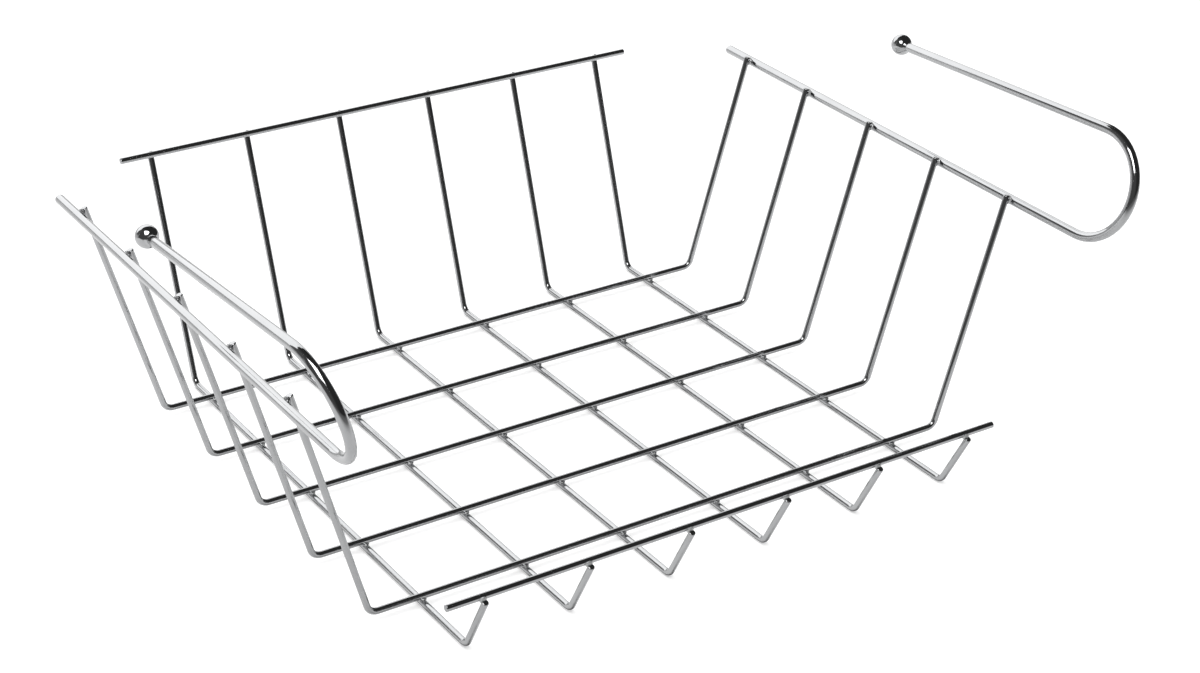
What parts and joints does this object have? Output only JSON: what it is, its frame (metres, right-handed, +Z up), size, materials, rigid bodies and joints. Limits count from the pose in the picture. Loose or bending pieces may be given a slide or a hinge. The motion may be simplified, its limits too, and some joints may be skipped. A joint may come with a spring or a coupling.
{
  "type": "under-shelf basket",
  "caption": "Open chrome wire basket with sloping walls that hangs under a shelf on two sprung wire arms with ball ends.",
  "frame": {"origin": "on the plane that the long wires stand on, under the middle of the overall box", "axes": "+X from left to right, +Y from the open front to the tall back wall, +Z up"},
  "size_m": [0.4029, 0.3279, 0.1626],
  "materials": {
    "grid_wire": "bright chrome plate on drawn steel wire",
    "hanger_wire": "bright chrome plate on drawn steel wire",
    "ball_end": "polished chrome plate"
  },
  "bodies": {
    "root": {"cross_wire_1": "grid_wire", "cross_wire_2": "grid_wire", "cross_wire_3": "grid_wire", "cross_wire_4": "grid_wire", "cross_wire_5": "grid_wire", "long_wire_1": "grid_wire", "long_wire_2": "grid_wire", "long_wire_3": "grid_wire", "long_wire_4": "grid_wire", "long_wire_5": "grid_wire", "long_wire_6": "grid_wire", "back_rail": "grid_wire", "front_rail": "grid_wire", "left_hanger": "hanger_wire", "right_hanger": "hanger_wire", "left_ball_end": "ball_end", "right_ball_end": "ball_end"}
  },
  "joints": []
}
